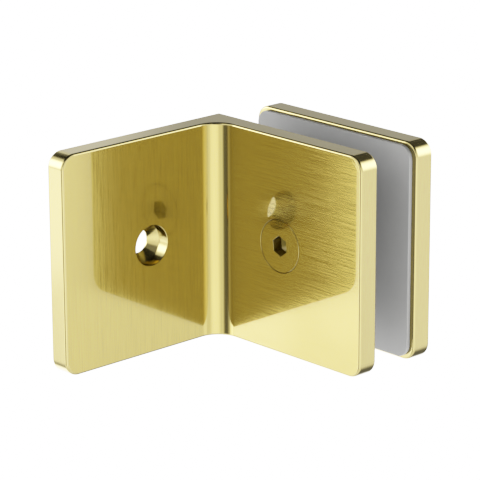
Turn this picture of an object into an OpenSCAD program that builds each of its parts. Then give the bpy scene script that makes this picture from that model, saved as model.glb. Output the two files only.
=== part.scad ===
// Square clamp that holds a glass panel at right angles to a wall.
//
// An L-shaped bracket is screwed flat to the wall by one countersunk screw. A second countersunk
// screw goes through its other leaf and through a hole in the glass, and draws the clamp plate
// against the far side of the panel. A gasket on each metal face and a bush round the threaded
// boss keep metal off the glass.
//
// Frame: the wall face is the plane Y = 0, and the wall is on its +Y side. The origin is in that
// face, in the middle of the wall screw's hole. +X points from the wall leaf towards the glass and
// +Z is up. The panel stands in the slot between the two gaskets, and the screw lies along X.

/* [Bracket] */
// Length of each leaf, from the outer corner to its free end
leaf_length = 50; // [42:1:80]
// Height of the bracket and of the clamp plate
clamp_height = 50; // [40:1:80]
// Thickness of both leaves
leaf_t = 5; // [4.6:0.1:8]
// Radius of the fillet in the inner corner
inner_r = 5; // [2:0.5:8]
// Radius of the outer corner, on the side of the wall and the glass
outer_r = 1; // [1:0.1:3]

/* [Edges of the metal] */
// Radius of the free corners of the leaves and of the clamp plate
corner_r = 3.5; // [1.6:0.1:6]
// Rounding of the long edges
edge_r = 0.55; // [0.2:0.05:0.8]

/* [Clamp plate] */
// Thickness of the clamp plate
plate_t = 5; // [4.4:0.1:8]
// Diameter of the threaded boss
boss_d = 12; // [10:0.5:14]
// Chamfer on the end of the boss and of the bush
boss_chamfer = 0.5; // [0.2:0.1:0.8]

/* [Glass] */
// Glass that the slot stands set for
glass_t = 10; // [9:0.5:11]
// Thinnest glass that the clamp takes
glass_min = 8; // [7.5:0.5:9]
// Thickest glass that the clamp takes
glass_max = 12; // [11:0.5:12]

/* [Gaskets and bush] */
// Thickness of a gasket
gasket_t = 1; // [0.5:0.1:2]
// Margin of metal above and below a gasket
gasket_margin = 0.8; // [0.6:0.1:3]
// Margin of metal at a gasket's free end and at its end by the wall
gasket_end_margin = 1.2; // [0.6:0.1:3]
// Radius of a gasket's corners
gasket_corner_r = 3; // [1:0.5:5]
// Diameter of the hole for the screw in the bracket's gasket
gasket_hole_d = 8; // [7.5:0.5:12]
// Outer diameter of the bush, which fills the hole in the glass
bush_d = 16; // [15.2:0.1:20]

/* [Wall screw hole] */
// Distance of the hole from the outer corner
wall_hole_in = 25; // [20:1:30]
// Diameter of the recess that takes the wall screw's head
wall_recess_d = 9.2; // [8:0.1:10]
// Diameter of the hole that the wall screw's shank passes
wall_shank_d = 5.5; // [4.5:0.1:6.5]
// Length of the straight hole between the cone and the wall
wall_land = 0.3; // [0.2:0.1:1]
// Chamfer round the mouth of the recess
recess_chamfer = 0.2; // [0.1:0.05:0.4]

/* [Clamp screw] */
// Distance of the screw from the outer corner
screw_in = 25; // [20:1:30]
// Thread diameter
screw_d = 6; // [5:0.5:6]
// Length of thread engaged in the boss when the slot is set for the thickest glass
thread_hold = 4; // [3:0.5:4.5]
// Diameter of the countersunk head
head_d = 12; // [11:0.5:12.5]
// Straight edge of the head above its cone
head_edge = 0.3; // [0.2:0.1:0.5]
// Width across the flats of the hexagon socket
socket_af = 4.1; // [3:0.1:4.2]
// Depth of the hexagon socket
socket_depth = 2.5; // [2:0.1:2.8]
// Angle at which the screw stands turned
screw_turn = -7; // [-30:1:30]
// Chamfer on the tip of the screw
tip_chamfer = 0.8; // [0.4:0.1:1.2]

/* [Clearances] */
// Gap round the screw's head in its countersink
head_gap = 0.15; // [0.1:0.05:0.3]
// Gap round the screw's shank in the clamp leaf
shank_gap = 0.25; // [0.2:0.05:0.5]
// Gap round the screw in the threaded bore of the boss
thread_gap = 0.05; // [0.03:0.01:0.08]
// Gap between the boss and the bush
bush_gap = 0.1; // [0.05:0.05:0.3]
// Gap between the boss and the gasket that it passes through
gasket_gap = 0.25; // [0.1:0.05:0.5]
// Room beyond the tip of the screw when the slot is set for the thinnest glass
tip_room = 0.5; // [0.3:0.1:1]
// Room between the boss and the bracket's gasket when the slot is set for the thinnest glass
boss_room = 2; // [1.5:0.5:3]

/* [Hidden] */
$fn = 96;

gold = [0.80, 0.69, 0.36];
grey = [0.62, 0.62, 0.60];
ivory = [0.86, 0.85, 0.80];

// A cut runs this far past the face that it leaves
past = 1;

// Distance between the metal faces, with the slot as it stands and at both ends of the plate's travel
metal_gap = glass_t + 2 * gasket_t;
least_gap = glass_min + 2 * gasket_t;
most_gap = glass_max + 2 * gasket_t;

// The threaded boss ends clear of the bracket's gasket, and the bush ends flush with the boss
boss_l = gasket_t + glass_min - boss_room;
bush_l = boss_l - gasket_t;
bush_bore_d = boss_d + 2 * bush_gap;

// The screw's length over all, from the face of its head to its tip
screw_length = leaf_t + most_gap - boss_l + thread_hold;

// The bore goes deep enough into the plate for the tip, and ends in the drill's own cone
tip_reach = screw_length - leaf_t - least_gap;
bore_r = screw_d / 2 + thread_gap;
bore_depth = boss_l + max(tip_reach, 0) + tip_room;
drill_cone = bore_r / tan(59);

// Depth at which a cone of 90 degrees has come down from one diameter to the other
function cone_depth(from_d, to_d) = (from_d - to_d) / 2;

// Outer corner block of the bracket, in plan
corner_side = leaf_t + inner_r;

// Puts its children in the part's frame, from the outer corner of the bracket at its foot
module from_corner() {
    translate([wall_hole_in, 0, -clamp_height / 2]) children();
}

// Puts its children on the screw's axis, with +Z along the screw and Z = 0 on the leaf's glass face
module on_screw_axis() {
    from_corner() translate([0, -screw_in, clamp_height / 2]) rotate([0, 90, 0]) children();
}

// Section through the edge of a plate: its outer corners, at X = depth, are rounded
module edge_section(depth, thickness) {
    square([depth - edge_r, thickness]);
    translate([0, edge_r]) square([depth, thickness - 2 * edge_r]);
    intersection() {
        square([depth, thickness]);
        for (y = [edge_r, thickness - edge_r]) translate([depth - edge_r, y]) circle(edge_r);
    }
}

// Section across a plate, with all four corners rounded
module plate_section(width, thickness) {
    translate([edge_r, 0]) square([width - 2 * edge_r, thickness]);
    translate([0, edge_r]) square([width, thickness - 2 * edge_r]);
    for (x = [edge_r, width - edge_r], y = [edge_r, thickness - edge_r]) translate([x, y]) circle(edge_r);
}

// Rounded end of a plate that lies on Z = 0: it starts at X = 0 and reaches corner_r along +X
module plate_end(width, thickness) {
    translate([0, width - corner_r, 0]) rotate_extrude(angle = 90) edge_section(corner_r, thickness);
    translate([0, width - corner_r, 0]) rotate([90, 0, 0])
        linear_extrude(width - 2 * corner_r) edge_section(corner_r, thickness);
    translate([0, corner_r, 0]) rotate([0, 0, -90])
        rotate_extrude(angle = 90) edge_section(corner_r, thickness);
}

// Straight run of a plate along +X, from X = 0
module plate_run(length, width, thickness) {
    rotate([90, 0, 90]) linear_extrude(length) plate_section(width, thickness);
}

// A leaf of the bracket, from the corner block outwards: it lies in the XZ plane along +X
module leaf() {
    run = leaf_length - corner_side - corner_r;
    rotate([90, 0, 0]) {
        plate_run(run, clamp_height, leaf_t);
        translate([run, 0, 0]) plate_end(clamp_height, leaf_t);
    }
}

// The corner where the leaves meet: the outer corner is at the origin, the leaves go to -X and -Y
module corner_block() {
    inner_rim = 2 * edge_r;
    core = corner_side - outer_r;
    // Inner fillet with its rounded top and bottom edge
    translate([-corner_side, -corner_side, 0]) rotate_extrude(angle = 90)
        translate([inner_r + inner_rim, 0]) mirror([1, 0]) edge_section(inner_rim, clamp_height);
    // Body of the corner
    translate([-corner_side, -corner_side, 0]) linear_extrude(clamp_height) difference() {
        square(core);
        circle(inner_r + inner_rim);
    }
    // Outer faces, and the outer corner between them
    translate([-outer_r, -outer_r, 0]) {
        rotate_extrude(angle = 90) edge_section(outer_r, clamp_height);
        rotate([90, 0, 0]) linear_extrude(core) edge_section(outer_r, clamp_height);
        mirror([1, 0, 0]) rotate([90, 0, 90]) linear_extrude(core) edge_section(outer_r, clamp_height);
    }
}

// Recess, cone and straight hole for the wall screw, from the leaf's inner face (Z = 0) downwards
module wall_screw_hole() {
    cone = cone_depth(wall_recess_d, wall_shank_d);
    recess = leaf_t - wall_land - cone;
    translate([0, 0, -leaf_t - past]) cylinder(d = wall_shank_d, h = leaf_t + past);
    translate([0, 0, -recess - cone]) cylinder(d1 = wall_shank_d, d2 = wall_recess_d, h = cone);
    translate([0, 0, -recess]) cylinder(d = wall_recess_d, h = recess + past);
    translate([0, 0, -recess_chamfer])
        cylinder(d1 = wall_recess_d, d2 = wall_recess_d + 2 * (recess_chamfer + past), h = recess_chamfer + past);
}

// Countersink and through hole for the clamp screw, from the leaf's inner face along +Z
module clamp_screw_hole() {
    mouth_d = head_d + 2 * head_gap;
    hole_d = screw_d + 2 * shank_gap;
    translate([0, 0, -past]) cylinder(d = mouth_d, h = past + head_edge);
    translate([0, 0, head_edge]) cylinder(d1 = mouth_d, d2 = hole_d, h = cone_depth(mouth_d, hole_d));
    cylinder(d = hole_d, h = leaf_t + past);
}

// One-piece bracket: two leaves at a right angle with a filleted inner corner
module wall_bracket() {
    color(gold) difference() {
        from_corner() {
            corner_block();
            translate([-corner_side, 0, 0]) mirror([1, 0, 0]) leaf();
            translate([0, -corner_side, 0]) rotate([0, 0, -90]) leaf();
        }
        translate([0, -leaf_t, 0]) rotate([90, 0, 0]) wall_screw_hole();
        on_screw_axis() translate([0, 0, -leaf_t]) clamp_screw_hole();
    }
}

// Clamp plate on the far side of the glass, with a threaded boss that reaches into the glass
module clamp_plate() {
    run = leaf_length - 2 * corner_r;
    color(gold) difference() {
        union() {
            from_corner() translate([metal_gap + plate_t, -corner_r, 0]) rotate([0, 0, -90]) rotate([90, 0, 0]) {
                plate_run(run, clamp_height, plate_t);
                translate([run, 0, 0]) plate_end(clamp_height, plate_t);
                mirror([1, 0, 0]) plate_end(clamp_height, plate_t);
            }
            on_screw_axis() translate([0, 0, metal_gap - boss_l]) {
                translate([0, 0, boss_chamfer]) cylinder(d = boss_d, h = boss_l - boss_chamfer);
                cylinder(d1 = boss_d - 2 * boss_chamfer, d2 = boss_d, h = boss_chamfer);
            }
        }
        on_screw_axis() translate([0, 0, metal_gap - boss_l]) {
            translate([0, 0, -past]) cylinder(r = bore_r, h = past + bore_depth);
            translate([0, 0, bore_depth]) cylinder(r1 = bore_r, r2 = 0, h = drill_cone);
        }
    }
}

// Flat gasket with rounded corners, the given distance from the clamp leaf's glass face
module gasket(place, hole_d) {
    from_corner() translate([place, -leaf_length, 0]) rotate([90, 0, 90]) linear_extrude(gasket_t)
        difference() {
            translate([gasket_end_margin, gasket_margin])
                rounded_square(leaf_length - 2 * gasket_end_margin, clamp_height - 2 * gasket_margin, gasket_corner_r);
            translate([leaf_length - screw_in, clamp_height / 2]) circle(d = hole_d);
        }
}

// Rectangle with rounded corners, from the origin
module rounded_square(width, height, r) {
    translate([r, 0]) square([width - 2 * r, height]);
    translate([0, r]) square([width, height - 2 * r]);
    for (x = [r, width - r], y = [r, height - r]) translate([x, y]) circle(r);
}

// Gasket on the glass face of the bracket's clamp leaf
module bracket_gasket() {
    color(grey) gasket(0, gasket_hole_d);
}

// Gasket on the clamp plate, with a hole for its boss
module plate_gasket() {
    color(grey) gasket(metal_gap - gasket_t, boss_d + 2 * gasket_gap);
}

// Plastic bush on the boss: it centres the boss in the hole of the glass
module glass_bush() {
    color(ivory) on_screw_axis() translate([0, 0, metal_gap - boss_l]) difference() {
        union() {
            translate([0, 0, boss_chamfer]) cylinder(d = bush_d, h = bush_l - boss_chamfer);
            cylinder(d1 = bush_d - 2 * boss_chamfer, d2 = bush_d, h = boss_chamfer);
        }
        translate([0, 0, -past]) cylinder(d = bush_bore_d, h = bush_l + 2 * past);
    }
}

// Countersunk screw with a hexagon socket
module clamp_screw() {
    cone = cone_depth(head_d, screw_d);
    color(gold) on_screw_axis() translate([0, 0, -leaf_t]) difference() {
        union() {
            cylinder(d = head_d, h = head_edge);
            translate([0, 0, head_edge]) cylinder(d1 = head_d, d2 = screw_d, h = cone);
            cylinder(d = screw_d, h = screw_length - tip_chamfer);
            translate([0, 0, screw_length - tip_chamfer])
                cylinder(d1 = screw_d, d2 = screw_d - 2 * tip_chamfer, h = tip_chamfer);
        }
        rotate([0, 0, screw_turn]) translate([0, 0, -past])
            cylinder(d = socket_af / cos(30), h = past + socket_depth, $fn = 6);
        translate([0, 0, socket_depth]) cylinder(r1 = socket_af / 2, r2 = 0, h = socket_af / 2 / tan(60));
    }
}

wall_bracket();
clamp_plate();
bracket_gasket();
plate_gasket();
glass_bush();
clamp_screw();
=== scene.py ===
import math

import bmesh
import bpy
from mathutils import Matrix, Vector


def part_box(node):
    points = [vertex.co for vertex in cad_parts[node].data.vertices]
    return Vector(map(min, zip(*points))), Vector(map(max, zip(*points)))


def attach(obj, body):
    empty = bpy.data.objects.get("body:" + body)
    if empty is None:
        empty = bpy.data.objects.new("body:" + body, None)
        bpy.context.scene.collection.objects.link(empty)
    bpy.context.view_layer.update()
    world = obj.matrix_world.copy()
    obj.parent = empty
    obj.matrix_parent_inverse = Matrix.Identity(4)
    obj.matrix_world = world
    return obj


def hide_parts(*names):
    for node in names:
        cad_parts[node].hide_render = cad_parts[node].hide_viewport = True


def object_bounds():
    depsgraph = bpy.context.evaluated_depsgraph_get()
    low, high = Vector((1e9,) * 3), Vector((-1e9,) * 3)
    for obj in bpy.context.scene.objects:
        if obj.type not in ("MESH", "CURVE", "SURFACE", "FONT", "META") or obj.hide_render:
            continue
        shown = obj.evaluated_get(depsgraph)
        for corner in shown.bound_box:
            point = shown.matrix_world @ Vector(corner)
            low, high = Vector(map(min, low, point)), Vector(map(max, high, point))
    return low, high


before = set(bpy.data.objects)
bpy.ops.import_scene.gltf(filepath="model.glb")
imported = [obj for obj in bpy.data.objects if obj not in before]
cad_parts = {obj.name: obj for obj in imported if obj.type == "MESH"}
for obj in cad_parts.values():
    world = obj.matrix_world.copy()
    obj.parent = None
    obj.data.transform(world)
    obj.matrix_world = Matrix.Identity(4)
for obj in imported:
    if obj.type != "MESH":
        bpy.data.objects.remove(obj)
cad_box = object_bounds()


# Camera. A long lens looks down into the corner of the bracket, from the side of the room, so that
# both leaves, the open slot and the edge of the clamp plate are seen at once.
# Its place, angles and lens come from a scratch program that fitted them to the clamp's outlines.
MM = 0.001
CAMERA_AT = (-368.32 * MM, -429.23 * MM, 172.12 * MM)
CAMERA_AZIMUTH = math.radians(-42.954)
CAMERA_ELEVATION = math.radians(16.932)
CAMERA_ROLL = math.radians(-0.263)
CAMERA_LENS = 199.14  # mm, on a sensor of 36 mm

camera = bpy.data.objects.new("camera", bpy.data.cameras.new("camera"))
camera.data.sensor_width = 36
camera.data.lens = CAMERA_LENS
camera.data.clip_end = 20  # m, past the far edge of the floor
camera.matrix_world = (
    Matrix.Translation(CAMERA_AT)
    @ Matrix.Rotation(CAMERA_AZIMUTH, 4, "Z")
    @ Matrix.Rotation(math.pi / 2 - CAMERA_ELEVATION, 4, "X")
    @ Matrix.Rotation(CAMERA_ROLL, 4, "Z")
)
bpy.context.scene.collection.objects.link(camera)
bpy.context.scene.camera = camera


# Studio. The clamp stands in an even white tent of cloth. Soft panels brighten parts of it, and the
# openings between them stay dark, which gives the polished edges their thin dark lines. Gold that
# is seen in gold finds the tent dimmer.
TENT_LIGHT = 1.31
DARKEST = 0.015
PAPER_WHITE = 3.0
FIRST_LOOK = 2  # ray depth at which the tent is seen in one reflection
SECOND_LOOK = 0.192  # share of the light that each further reflection leaves
DEEP_LOOK = 0.1  # and the least share left
FLOOR_PANEL = (0, -90, 10, 100, 1.2)  # the floor's own light, on matt surfaces alone
# Eleven of these panels began as the output of a scratch program, a least-squares fit of the light
# to sampled colours, and were then adjusted. The others were placed by eye, the narrow ones in
# directions that another scratch program gave.
PANELS = [  # azimuth, elevation, full out to, gone at, added light: angles in degrees
    (130, 80, 41, 53.5, -1.25),
    (195, 60, 6, 24, -1.3),
    (129, 10, 27, 28, -0.8),
    (152, 18, 11.5, 14, 0.45),
    (-98, -17, 14, 27, -1.15),
    (63, 13, 3, 29, 4.5),
    (-149, 13, 4, 22, 5),
    (-142, -12, 5.3, 6.1, 0.7),
    (-143, -21, 2, 4.5, -0.4),
    (-137.3, -18.8, 0.6, 1.8, 1.0),
    (-134.5, -18.3, 0.4, 1.2, 0.5),
    (-126, -24, 10, 30, 0.85),
    (57, -3, 3, 6.5, -1.4),
    (52, -14, 7, 12, 0.15),
    (38, -25, 4, 11, -0.2),
    (-31, -21, 8, 29, 0.9),
    (105, -46, 18, 46, -1.15),
    (-155, -34, 3, 17, -0.8),
    (157, -43, 13, 36, 2.2),
    (-48, 34, 16, 26, -1.05),
    (-120, -17, 5, 12, 1.3),
    (28, -17, 6, 14, 0.5),
    (0, 58, 14, 30, -1.2),
]
SPARED = [  # parts of the tent that a second look dims less
    (-2, -17, 12, 36, 0.5),
    (-100, -17, 12, 42, 0.45),
]


def link(tree, source, target):
    """Joins two node sockets."""
    tree.links.new(source, target)


def node(tree, kind, **values):
    """Adds a node to a tree, with its properties and its inputs' values by name."""
    made = tree.nodes.new(kind)
    for name, value in values.items():
        if name in made.bl_rna.properties:
            setattr(made, name, value)
        else:
            made.inputs[name.replace("_", " ")].default_value = value
    return made


def towards(azimuth, elevation):
    """Direction with the azimuth from straight in front, and the elevation, both in degrees."""
    a, e = math.radians(azimuth), math.radians(elevation)
    return (math.sin(a) * math.cos(e), -math.cos(a) * math.cos(e), math.sin(e))


def soft_panel(tree, sight, azimuth, elevation, full, gone, added):
    """Light of one round panel, even out to one angle from its middle, and gone at the other."""
    facing = node(tree, "ShaderNodeVectorMath", operation="DOT_PRODUCT")
    link(tree, sight.outputs["Generated"], facing.inputs[0])
    facing.inputs[1].default_value = towards(azimuth, elevation)
    fade = node(tree, "ShaderNodeMapRange", interpolation_type="SMOOTHSTEP")
    fade.inputs["From Min"].default_value = math.cos(math.radians(gone))
    fade.inputs["From Max"].default_value = math.cos(math.radians(full))
    fade.inputs["To Max"].default_value = added
    link(tree, facing.outputs["Value"], fade.inputs["Value"])
    return fade.outputs[0]


def calculate(tree, operation, *terms):
    """A Math node on numbers and sockets. Gives its output."""
    made = node(tree, "ShaderNodeMath", operation=operation)
    for term, socket in zip(terms, made.inputs):
        if isinstance(term, (int, float)):
            socket.default_value = term
        else:
            link(tree, term, socket)
    return made.outputs[0]


tent = bpy.data.worlds.new("white_tent")
bpy.context.scene.world = tent
tent.use_nodes = True
tent.cycles.sampling_method = "NONE"
tree = tent.node_tree
tree.nodes.clear()
sight = node(tree, "ShaderNodeTexCoord")
light = node(tree, "ShaderNodeValue")
light.outputs[0].default_value = TENT_LIGHT
total = light.outputs[0]
for panel in PANELS:
    total = calculate(tree, "ADD", total, soft_panel(tree, sight, *panel))
seen = node(tree, "ShaderNodeLightPath")
from_floor = soft_panel(tree, sight, *FLOOR_PANEL)
glow = calculate(tree, "MULTIPLY", from_floor, seen.outputs["Is Diffuse Ray"])
lit = calculate(tree, "MAXIMUM", calculate(tree, "ADD", total, glow), DARKEST)
looks = calculate(tree, "SUBTRACT", seen.outputs["Ray Depth"], FIRST_LOOK)
looks = calculate(tree, "MAXIMUM", looks, 0)
dimming = calculate(tree, "MAXIMUM", calculate(tree, "POWER", SECOND_LOOK, looks), DEEP_LOOK)
for panel in SPARED:
    dimming = calculate(tree, "ADD", dimming, soft_panel(tree, sight, *panel))
dimming = calculate(tree, "MINIMUM", dimming, 1)
dimmed = calculate(tree, "MULTIPLY", lit, dimming)
shine = node(tree, "ShaderNodeBackground")
link(tree, dimmed, shine.inputs["Strength"])
paper = node(tree, "ShaderNodeBackground", Strength=PAPER_WHITE)
either = node(tree, "ShaderNodeMixShader")
link(tree, seen.outputs["Is Camera Ray"], either.inputs[0])
link(tree, shine.outputs[0], either.inputs[1])
link(tree, paper.outputs[0], either.inputs[2])
link(tree, either.outputs[0], node(tree, "ShaderNodeOutputWorld").inputs["Surface"])

# Exposure. Tones climb ever more slowly to the white of the paper, so that bright gold pales gently
# and keeps its brush lines, and the dark edges stay deep.
RESPONSE_STEPS = 12
view = bpy.context.scene.view_settings
view.view_transform = "Standard"
view.use_curve_mapping = True
response = view.curve_mapping
response.white_level = (PAPER_WHITE, PAPER_WHITE, PAPER_WHITE)
for step in range(1, RESPONSE_STEPS):
    exposed = (step / RESPONSE_STEPS) ** 2
    shown = (1 - math.exp(-PAPER_WHITE * exposed)) / (1 - math.exp(-PAPER_WHITE))
    response.curves[3].points.new(exposed, shown)  # the fourth curve takes all three colours
response.update()


# Floor. A wide sweep of plain white paper under the clamp, level with its lower edges. It is lit
# from below, so bright that it takes no shadow.
FLOOR_HALF = 6  # m


def bare_material(name):
    """A new material, with its empty node tree."""
    material = bpy.data.materials.new(name)
    material.use_nodes = True
    material.node_tree.nodes.clear()
    return material, material.node_tree


floor_mesh = bpy.data.meshes.new("floor")
floor = bpy.data.objects.new("floor", floor_mesh)
floor_bm = bmesh.new()
bmesh.ops.create_grid(floor_bm, x_segments=1, y_segments=1, size=FLOOR_HALF)
bmesh.ops.translate(floor_bm, verts=floor_bm.verts, vec=(0, 0, cad_box[0][2]))
floor_bm.to_mesh(floor_mesh)
floor_bm.free()
floor_material, tree = bare_material("white_paper")
paper = node(tree, "ShaderNodeEmission", Strength=PAPER_WHITE)
link(tree, paper.outputs[0], node(tree, "ShaderNodeOutputMaterial").inputs["Surface"])
floor_mesh.materials.append(floor_material)
floor.visible_glossy = False
floor.visible_diffuse = False
floor.visible_transmission = False
floor.visible_shadow = False
bpy.context.scene.collection.objects.link(floor)


# Bracket. One solid L of brass, cut from bar, with a fillet inside, its rims rounded and polished,
# its flat faces finely brushed. It is plated gold and lacquered. One hole is for the wall screw,
# and the other takes the clamp screw's head flush.
LEAF_T = 5 * MM
FILLET_R = 5 * MM
SPINE_R = 0.6 * MM
CORNER_R = 3.5 * MM
EDGE_R = 0.55 * MM
FILLET_STEPS, SPINE_STEPS, CORNER_STEPS, EDGE_STEPS = 24, 8, 20, 7
# Depth from the leaf's inner face and radius, in mm, down each hole
WALL_HOLE_STEPS = [(0, 4.7), (0.1, 4.6), (2.85, 4.6), (4.7, 2.75), (5, 2.75)]
CLAMP_HOLE_STEPS = [(0, 6.18), (0.03, 6.15), (0.3, 6.15), (3.2, 3.25), (5, 3.25)]
WIDEST_HOLE_R = 6.2 * MM
ROUND_STEPS = 96
WELD = 0.0001 * MM
TOUCH = 0.001 * MM  # two points closer than this are at one level
FLAT = 0.999  # a face whose normal reaches this along an axis is square to it
UPRIGHT = 0.001  # and one whose normal rises less than this stands upright
SHARP = math.radians(30)


def around(bm, test):
    """The edges of a mesh whose middle passes the test."""
    return [e for e in bm.edges if test((e.verts[0].co + e.verts[1].co) / 2)]


def round_off(bm, edges, radius, segments):
    """Rounds edges of a mesh to an arc of this many flats."""
    bmesh.ops.bevel(
        bm, geom=edges, offset=radius, offset_type="OFFSET", affect="EDGES",
        segments=segments, profile=0.5, clamp_overlap=False, loop_slide=True, material=-1,
    )


def square_edges(bm):
    """The edges of a mesh where two faces meet squarely, and not in the flats of an arc."""
    least = math.radians(60)
    return [e for e in bm.edges if len(e.link_faces) == 2 and e.calc_face_angle(0) > least]


def turned(bm, mouth, axis, steps):
    """Turns a profile round an axis. The steps are (depth along the axis, radius) in mm."""
    side = axis.orthogonal().normalized()
    verts = [
        bm.verts.new(mouth + axis * depth * MM + side * radius * MM) for depth, radius in steps
    ]
    edges = [bm.edges.new(pair) for pair in zip(verts, verts[1:])]
    bmesh.ops.spin(
        bm, geom=verts + edges, cent=mouth, axis=axis, angle=2 * math.pi,
        steps=ROUND_STEPS, use_merge=True,
    )


def open_flat(bm, point, normal):
    """Takes out the flat face that holds a point, and fills it again round the loose ring there."""
    def level(co):
        return abs((co - point).dot(normal)) < TOUCH

    flat = max(
        (f for f in bm.faces if f.normal.dot(normal) > FLAT and all(level(v.co) for v in f.verts)),
        key=lambda f: f.calc_area(),
    )
    bmesh.ops.delete(bm, geom=[flat], context="FACES_ONLY")
    rims = [e for e in bm.edges if e.is_boundary and level(e.verts[0].co) and level(e.verts[1].co)]
    bmesh.ops.triangle_fill(bm, edges=rims, use_beauty=True, normal=normal)


def piece(name, bm, body, replaced, materials):
    """Makes the finished object of a piece, rides it on its body and hides the part it stands for.
    """
    bmesh.ops.remove_doubles(bm, verts=bm.verts, dist=WELD)
    bmesh.ops.recalc_face_normals(bm, faces=bm.faces)
    mesh = bpy.data.meshes.new(name)
    for material in materials:
        mesh.materials.append(material)
    for face in bm.faces:
        face.smooth = True
    bm.to_mesh(mesh)
    bm.free()
    mesh.set_sharp_from_angle(angle=SHARP)
    made = bpy.data.objects.new(name, mesh)
    bpy.context.scene.collection.objects.link(made)
    flatten = made.modifiers.new("flat_faces_stay_flat", "WEIGHTED_NORMAL")
    flatten.mode = "FACE_AREA"
    flatten.weight = 50
    flatten.keep_sharp = True
    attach(made, body)
    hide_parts(replaced)
    return made


low, high = (Vector(corner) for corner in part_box("wall_bracket"))
middle_z = (low.z + high.z) / 2
inner = Vector((high.x - LEAF_T, high.y - LEAF_T, 0))
bm = bmesh.new()
outline = [
    (low.x, high.y), (high.x, high.y), (high.x, low.y),
    (inner.x, low.y), (inner.x, inner.y), (low.x, inner.y),
]
foot = bm.faces.new([bm.verts.new((x, y, low.z)) for x, y in outline])
lifted = bmesh.ops.extrude_face_region(bm, geom=[foot])["geom"]
bmesh.ops.translate(
    bm, verts=[v for v in lifted if isinstance(v, bmesh.types.BMVert)], vec=(0, 0, high.z - low.z)
)
bmesh.ops.recalc_face_normals(bm, faces=bm.faces)
round_off(bm, around(bm, lambda p: (p - inner).xy.length < MM), FILLET_R, FILLET_STEPS)
round_off(bm, around(bm, lambda p: (p - high).xy.length < MM), SPINE_R, SPINE_STEPS)
round_off(
    bm,
    around(bm, lambda p: abs(abs(p.z - middle_z) - (high.z - middle_z)) < TOUCH and (
        abs(p.x - low.x) < TOUCH or abs(p.y - low.y) < TOUCH)),
    CORNER_R, CORNER_STEPS,
)
round_off(bm, square_edges(bm), EDGE_R, EDGE_STEPS)
wall_hole = Vector((0, inner.y, middle_z))
screw_hole = Vector((inner.x, (low.y + high.y) / 2, middle_z))
for mouth, axis, steps in (
    (wall_hole, Vector((0, 1, 0)), WALL_HOLE_STEPS),
    (screw_hole, Vector((1, 0, 0)), CLAMP_HOLE_STEPS),
):
    turned(bm, mouth, axis, steps)
    open_flat(bm, mouth, -axis)
    open_flat(bm, mouth + axis * LEAF_T, axis)


HAIR_EDGE = (0.43, 0.48)  # between these, a hair goes from smooth to rough
DARKEST_STREAK, STREAK_TONE = 0.88, 0.24  # tone of a streak, and how much paler the next may be


def shader_group(name, inputs, outputs):
    """A new node group with these sockets, each a name and its kind. Gives its input node too."""
    group = bpy.data.node_groups.new(name, "ShaderNodeTree")
    for in_out, sockets in (("INPUT", inputs), ("OUTPUT", outputs)):
        for socket, kind in sockets.items():
            group.interface.new_socket(socket, in_out=in_out, socket_type="NodeSocket" + kind)
    return group, node(group, "NodeGroupInput")


def brushed_lines():
    """Node group: hair lines, too fine to tell apart, in longer streaks that waver a little."""
    group, given = shader_group(
        "brushed_lines",
        {"Colour": "Color", "Hairs": "Vector", "Streaks": "Vector", "Streakiness": "Float",
         "Brushing": "Float", "Smooth": "Float", "Rough": "Float"},
        {"Colour": "Color", "Roughness": "Float", "Height": "Float"},
    )
    place = node(group, "ShaderNodeTexCoord")
    noises = []
    for name, detail in (("Hairs", 1.0), ("Streaks", 2.0)):
        stretch = node(group, "ShaderNodeVectorMath", operation="MULTIPLY")
        link(group, place.outputs["Object"], stretch.inputs[0])
        link(group, given.outputs[name], stretch.inputs[1])
        noise = node(
            group, "ShaderNodeTexNoise", Scale=1.0, Detail=detail, Roughness=0.5, Distortion=0.1)
        link(group, stretch.outputs[0], noise.inputs["Vector"])
        noises.append(noise.outputs["Fac"])
    hairs, streaks = noises
    swing = calculate(group, "SUBTRACT", streaks, 0.5)
    swing = calculate(group, "MULTIPLY", swing, given.outputs["Streakiness"])
    worn = calculate(group, "ADD", calculate(group, "ADD", hairs, swing), given.outputs["Brushing"])
    paler = calculate(group, "MULTIPLY", streaks, STREAK_TONE)
    paler = calculate(group, "ADD", paler, DARKEST_STREAK)
    tone = node(group, "ShaderNodeVectorMath", operation="SCALE")
    link(group, given.outputs["Colour"], tone.inputs[0])
    link(group, paler, tone.inputs["Scale"])
    spread = node(group, "ShaderNodeMapRange")
    spread.inputs["From Min"].default_value, spread.inputs["From Max"].default_value = HAIR_EDGE
    link(group, worn, spread.inputs["Value"])
    link(group, given.outputs["Smooth"], spread.inputs["To Min"])
    link(group, given.outputs["Rough"], spread.inputs["To Max"])
    out = node(group, "NodeGroupOutput")
    link(group, tone.outputs[0], out.inputs["Colour"])
    link(group, spread.outputs[0], out.inputs["Roughness"])
    link(group, streaks, out.inputs["Height"])
    return group


BRUSHED_LINES = brushed_lines()
LACQUER_IOR = 1.7
LACQUER_ROUGHNESS = 0.02


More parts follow.
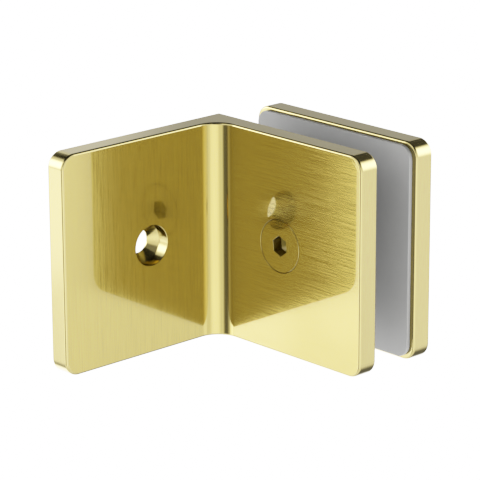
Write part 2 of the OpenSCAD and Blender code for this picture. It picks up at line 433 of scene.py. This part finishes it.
def gold(name, colour, hairs, streaks, streakiness, brushing, smooth, rough, depth, drawn_out=0):
    """Gold plate with brush lines, under clear lacquer that is smooth over them.

    Hairs and streaks are noise cells to the metre along each axis, and depth is in metres."""
    material, tree = bare_material(name)
    lines = node(
        tree, "ShaderNodeGroup", node_tree=BRUSHED_LINES, Colour=colour, Hairs=hairs,
        Streaks=streaks, Streakiness=streakiness, Brushing=brushing, Smooth=smooth, Rough=rough,
    )
    bump = node(tree, "ShaderNodeBump", Strength=1.0, Distance=depth)
    link(tree, lines.outputs["Height"], bump.inputs["Height"])
    metal = node(tree, "ShaderNodeBsdfPrincipled", Metallic=1.0)
    metal.inputs["Anisotropic"].default_value = drawn_out
    metal.inputs["Coat Weight"].default_value = 1.0
    metal.inputs["Coat IOR"].default_value = LACQUER_IOR
    metal.inputs["Coat Roughness"].default_value = LACQUER_ROUGHNESS
    link(tree, lines.outputs["Colour"], metal.inputs["Base Color"])
    link(tree, lines.outputs["Roughness"], metal.inputs["Roughness"])
    link(tree, bump.outputs[0], metal.inputs["Normal"])
    if drawn_out:
        facing = node(tree, "ShaderNodeNewGeometry")
        level = node(tree, "ShaderNodeVectorMath", operation="CROSS_PRODUCT")
        link(tree, facing.outputs["Normal"], level.inputs[0])
        level.inputs[1].default_value = (0, 0, 1)
        link(tree, level.outputs[0], metal.inputs["Tangent"])
    link(tree, metal.outputs[0], node(tree, "ShaderNodeOutputMaterial").inputs["Surface"])
    return material


RIM_GOLD = (0.985, 0.807, 0.262, 1)
LEAF_GOLD = (0.95, 0.747, 0.178, 1)
TURNED_GOLD = (0.96, 0.78, 0.23, 1)
gold_rims = gold(
    "gold_polished_rims", RIM_GOLD, hairs=(12000, 12000, 12000), streaks=(4000, 4000, 300),
    streakiness=0.3, brushing=0, smooth=0.05, rough=0.12, depth=0.3e-6,
)
gold_wall_leaf = gold(
    "gold_brushed_upright", LEAF_GOLD, hairs=(60000, 60000, 8000), streaks=(5500, 5500, 120),
    streakiness=0.55, brushing=0.03, smooth=0.03, rough=0.15, depth=0.1e-6, drawn_out=0.75,
)
gold_clamp_leaf = gold(
    "gold_brushed_level", LEAF_GOLD, hairs=(60000, 8000, 60000), streaks=(4200, 70, 4200),
    streakiness=0.5, brushing=0, smooth=0.03, rough=0.21, depth=0.03e-6, drawn_out=0.8,
)
gold_turned = gold(
    "gold_turned_holes", TURNED_GOLD, hairs=(50000, 50000, 50000), streaks=(3000, 3000, 3000),
    streakiness=0.5, brushing=0.1, smooth=0.05, rough=0.14, depth=0.5e-6,
)
gold_fillet = gold(
    "gold_brushed_fillet", LEAF_GOLD, hairs=(60000, 60000, 8000), streaks=(4000, 4000, 90),
    streakiness=0.6, brushing=0.07, smooth=0.03, rough=0.12, depth=0.5e-6,
)
for face in bm.faces:
    middle = face.calc_center_median()
    if abs(face.normal.y) > FLAT and middle.y > inner.y - TOUCH:
        face.material_index = 1
    elif abs(face.normal.x) > FLAT and middle.x > inner.x - TOUCH:
        face.material_index = 2
    elif min((middle - wall_hole).xz.length, (middle - screw_hole).yz.length) < WIDEST_HOLE_R:
        face.material_index = 3
    elif abs(face.normal.z) < UPRIGHT and (middle - inner).xy.length < FILLET_R:
        face.material_index = 4
piece(
    "bracket", bm, "bracket", "wall_bracket",
    [gold_rims, gold_wall_leaf, gold_clamp_leaf, gold_turned, gold_fillet],
)


# Clamp plate. A square of the same brass on the far side of the glass, with a threaded boss for the
# clamp screw turned on its face. It is finished as the bracket is.
PLATE_T = 5 * MM
BROAD_FACE = 10 * MM * MM  # a face wider than this is the plate's own
BOSS_STEPS = [  # distance from the plate's inner face, radius, in mm: the boss, its end, its bore
    (0, 6), (-6.5, 6), (-7, 5.5), (-7, 3.35), (-6.7, 3.05), (1.5, 3.05), (3.33, 0),
]
low, high = (Vector(corner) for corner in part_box("clamp_plate"))
gasket_face = high.x - PLATE_T
bm = bmesh.new()
bmesh.ops.create_cube(bm, size=1)
bmesh.ops.scale(bm, verts=bm.verts, vec=(high.x - gasket_face, high.y - low.y, high.z - low.z))
centre = Vector(((high.x + gasket_face) / 2, (high.y + low.y) / 2, middle_z))
bmesh.ops.translate(bm, verts=bm.verts, vec=centre)
round_off(bm, around(bm, lambda p: abs(p.x - centre.x) < TOUCH), CORNER_R, CORNER_STEPS)
round_off(bm, square_edges(bm), EDGE_R, EDGE_STEPS)
screw_at = Vector((gasket_face, screw_hole.y, middle_z))
turned(bm, screw_at, Vector((1, 0, 0)), BOSS_STEPS)
open_flat(bm, screw_at, Vector((-1, 0, 0)))
for face in bm.faces:
    if abs(face.normal.x) > FLAT and face.calc_area() > BROAD_FACE:
        face.material_index = 1
piece(
    "clamp_plate_dressed", bm, "plate", "clamp_plate", [gold_rims, gold_clamp_leaf],
)


# Gaskets. Two sheets of soft grey plastic, die cut, that lie on the metal on both sides of the
# glass. The bracket's has a hole for the screw, and the plate's a larger one for the boss.
GASKET_CORNER_R = 3 * MM
GASKET_EDGE_R = 0.12 * MM
SHEET_PALE, SHEET_DEEP = (0.63, 0.63, 0.62, 1), (0.565, 0.565, 0.555, 1)
GRAIN_EDGE = (0.3, 0.7)  # between these, the grain goes from its least roughness to its most


def moulded_grain():
    """Node group: the faint cloudiness and fine satin grain of moulded plastic and rubber."""
    group, given = shader_group(
        "moulded_grain",
        {"Pale": "Color", "Deep": "Color", "Least": "Float", "Most": "Float"},
        {"Colour": "Color", "Roughness": "Float", "Height": "Float"},
    )
    place = node(group, "ShaderNodeTexCoord")
    cloud = node(group, "ShaderNodeTexNoise", Scale=220.0, Detail=3.0, Roughness=0.6)
    grain = node(group, "ShaderNodeTexNoise", Scale=9000.0, Detail=2.0, Roughness=0.5)
    link(group, place.outputs["Object"], cloud.inputs["Vector"])
    link(group, place.outputs["Object"], grain.inputs["Vector"])
    tint = node(group, "ShaderNodeMix", data_type="RGBA")
    link(group, cloud.outputs["Fac"], tint.inputs[0])
    link(group, given.outputs["Deep"], tint.inputs[6])
    link(group, given.outputs["Pale"], tint.inputs[7])
    satin = node(group, "ShaderNodeMapRange")
    satin.inputs["From Min"].default_value, satin.inputs["From Max"].default_value = GRAIN_EDGE
    link(group, grain.outputs["Fac"], satin.inputs["Value"])
    link(group, given.outputs["Least"], satin.inputs["To Min"])
    link(group, given.outputs["Most"], satin.inputs["To Max"])
    out = node(group, "NodeGroupOutput")
    link(group, tint.outputs[2], out.inputs["Colour"])
    link(group, satin.outputs[0], out.inputs["Roughness"])
    link(group, grain.outputs["Fac"], out.inputs["Height"])
    return group


MOULDED_GRAIN = moulded_grain()


def moulded(name, pale, deep, least, most, depth):
    """Plastic or rubber with the grain of its mould. The depth of the grain is in metres."""
    material, tree = bare_material(name)
    grain = node(
        tree, "ShaderNodeGroup", node_tree=MOULDED_GRAIN,
        Pale=pale, Deep=deep, Least=least, Most=most,
    )
    bump = node(tree, "ShaderNodeBump", Strength=1.0, Distance=depth)
    link(tree, grain.outputs["Height"], bump.inputs["Height"])
    stuff = node(tree, "ShaderNodeBsdfPrincipled")
    link(tree, grain.outputs["Colour"], stuff.inputs["Base Color"])
    link(tree, grain.outputs["Roughness"], stuff.inputs["Roughness"])
    link(tree, bump.outputs[0], stuff.inputs["Normal"])
    link(tree, stuff.outputs[0], node(tree, "ShaderNodeOutputMaterial").inputs["Surface"])
    return material


gasket_material = moulded(
    "soft_grey_sheet", SHEET_PALE, SHEET_DEEP, least=0.35, most=0.5, depth=2e-6)
for name, node_name, body, hole_r in (  # the hole's radius in mm
    ("gasket_on_bracket", "bracket_gasket", "bracket", 4),
    ("gasket_on_plate", "plate_gasket", "plate", 6.25),
):
    low, high = (Vector(corner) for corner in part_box(node_name))
    size, centre = high - low, (high + low) / 2
    bm = bmesh.new()
    bmesh.ops.create_cube(bm, size=1)
    bmesh.ops.scale(bm, verts=bm.verts, vec=size)
    bmesh.ops.translate(bm, verts=bm.verts, vec=centre)
    round_off(bm, around(bm, lambda p: abs(p.x - centre.x) < TOUCH), GASKET_CORNER_R, segments=12)
    round_off(bm, square_edges(bm), GASKET_EDGE_R, segments=3)
    mouth = Vector((low.x, screw_hole.y, middle_z))
    turned(bm, mouth, Vector((1, 0, 0)), [(0, hole_r), (size.x / MM, hole_r)])
    open_flat(bm, mouth, Vector((-1, 0, 0)))
    open_flat(bm, mouth + Vector((size.x, 0, 0)), Vector((1, 0, 0)))
    piece(name, bm, body, node_name, [gasket_material])


# Bush. A moulded ring of natural nylon, pushed on the plate's boss. It fills the hole in the glass,
# so that the brass never touches its edge, and its outer rim is chamfered to go in easily.
BUSH_STEPS = [(0, 6.1), (0, 7.5), (0.5, 8), (6, 8), (6, 6.1), (0, 6.1)]  # depth, radius, in mm
NYLON_PALE, NYLON_DEEP = (0.78, 0.76, 0.69, 1), (0.70, 0.68, 0.60, 1)
low, high = (Vector(corner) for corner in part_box("glass_bush"))
bush_material = moulded(
    "natural_nylon", NYLON_PALE, NYLON_DEEP, least=0.35, most=0.5, depth=3e-6)
bm = bmesh.new()
turned(bm, Vector((low.x, screw_hole.y, middle_z)), Vector((1, 0, 0)), BUSH_STEPS)
piece("bush", bm, "plate", "glass_bush", [bush_material])


# Clamp screw. A countersunk M6 screw of steel with a hexagon socket, plated as the bracket is. It
# turns in the clamp leaf and draws the plate in by its thread.
HEAD_STEPS = [  # depth, radius, in mm: the head's rim, its cone, the core of the thread, the tip
    (0, 5.96), (0.04, 6), (0.3, 6), (3.3, 3), (3.8, 3), (4.2, 2.6), (15.6, 2.6), (16, 2.2), (16, 0),
]
THREAD_PITCH = 1 * MM
THREAD_TURNS = 11
TURN_STEPS = 36
THREAD_PROFILE = [(4.1, 2.55), (4.45, 2.98), (4.6, 2.98), (4.95, 2.55)]  # the same, of one ridge
SOCKET_AF = 4.1 * MM
SOCKET_LIP = 0.06 * MM
SOCKET_DEPTH = 2.5 * MM
SOCKET_REACH = 0.6 * SOCKET_AF  # a circle of this radius holds the socket
SOCKET_TURN = math.radians(23)
SOCKET_CONE = math.radians(30)  # slope of the drilled point at its foot
CONE_TIP = 0.001  # the point's width, as a share of the socket's
# Painted shade: the gold inside the hexagon socket is made darker to stand in for the shade in that
# recess.
SOCKET_SHADE_GOLD = (0.50, 0.38, 0.06, 1)
low, high = (Vector(corner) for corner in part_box("clamp_screw"))
head_at = Vector((low.x, screw_hole.y, middle_z))
bm = bmesh.new()
turned(bm, head_at, Vector((1, 0, 0)), HEAD_STEPS)
ridge = [
    bm.verts.new(head_at + Vector((depth, 0, radius)) * MM) for depth, radius in THREAD_PROFILE
]
edges = [bm.edges.new(pair) for pair in zip(ridge, ridge[1:] + ridge[:1])]
bmesh.ops.contextual_create(bm, geom=edges)
wound = bmesh.ops.spin(
    bm, geom=ridge + edges, cent=head_at, axis=(1, 0, 0), dvec=(THREAD_PITCH / TURN_STEPS, 0, 0),
    angle=2 * math.pi * THREAD_TURNS, steps=TURN_STEPS * THREAD_TURNS,
)["geom_last"]
bmesh.ops.contextual_create(bm, geom=[e for e in wound if isinstance(e, bmesh.types.BMEdge)])
in_head = (
    Matrix.Translation(head_at)
    @ Matrix.Rotation(SOCKET_TURN, 4, "X")
    @ Matrix.Rotation(math.pi / 2, 4, "Y")
)
socket = bmesh.ops.create_circle(
    bm, segments=6, radius=(SOCKET_AF / 2 + SOCKET_LIP) / math.cos(math.pi / 6), matrix=in_head,
)["verts"]
edges = list(dict.fromkeys(e for v in socket for e in v.link_edges))
narrowed = SOCKET_AF / (SOCKET_AF + 2 * SOCKET_LIP)
cone_depth = 0.5 * SOCKET_AF * math.tan(SOCKET_CONE)
for depth, size in ((SOCKET_LIP, narrowed), (SOCKET_DEPTH - SOCKET_LIP, 1), (cone_depth, CONE_TIP)):
    deeper = bmesh.ops.extrude_edge_only(bm, edges=edges)["geom"]
    verts = [v for v in deeper if isinstance(v, bmesh.types.BMVert)]
    edges = [e for e in deeper if isinstance(e, bmesh.types.BMEdge)]
    bmesh.ops.translate(bm, verts=verts, vec=(depth, 0, 0))
    bmesh.ops.scale(bm, verts=verts, vec=(1, size, size), space=Matrix.Translation(-head_at))
bmesh.ops.contextual_create(bm, geom=edges)
rims = [e for e in bm.edges if e.is_boundary and all(abs(v.co.x - low.x) < TOUCH for v in e.verts)]
bmesh.ops.triangle_fill(bm, edges=rims, use_beauty=True, normal=(-1, 0, 0))
# The socket's material carries that painted shade, on the socket's walls and point alone.
gold_socket_shaded = gold(
    "gold_socket_painted_shade", SOCKET_SHADE_GOLD, hairs=(50000, 50000, 50000), streaks=(2500, 2500, 2500),
    streakiness=0.5, brushing=0.2, smooth=0.2, rough=0.4, depth=1e-6,
)
for face in bm.faces:
    middle = face.calc_center_median()
    below = middle.x - low.x
    if (middle - head_at).yz.length < SOCKET_REACH and TOUCH < below < SOCKET_DEPTH + MM:
        face.material_index = 1
    elif below > TOUCH:
        face.material_index = 2
piece(
    "clamp_screw_dressed", bm, "screw", "clamp_screw",
    [gold_clamp_leaf, gold_socket_shaded, gold_turned],
)
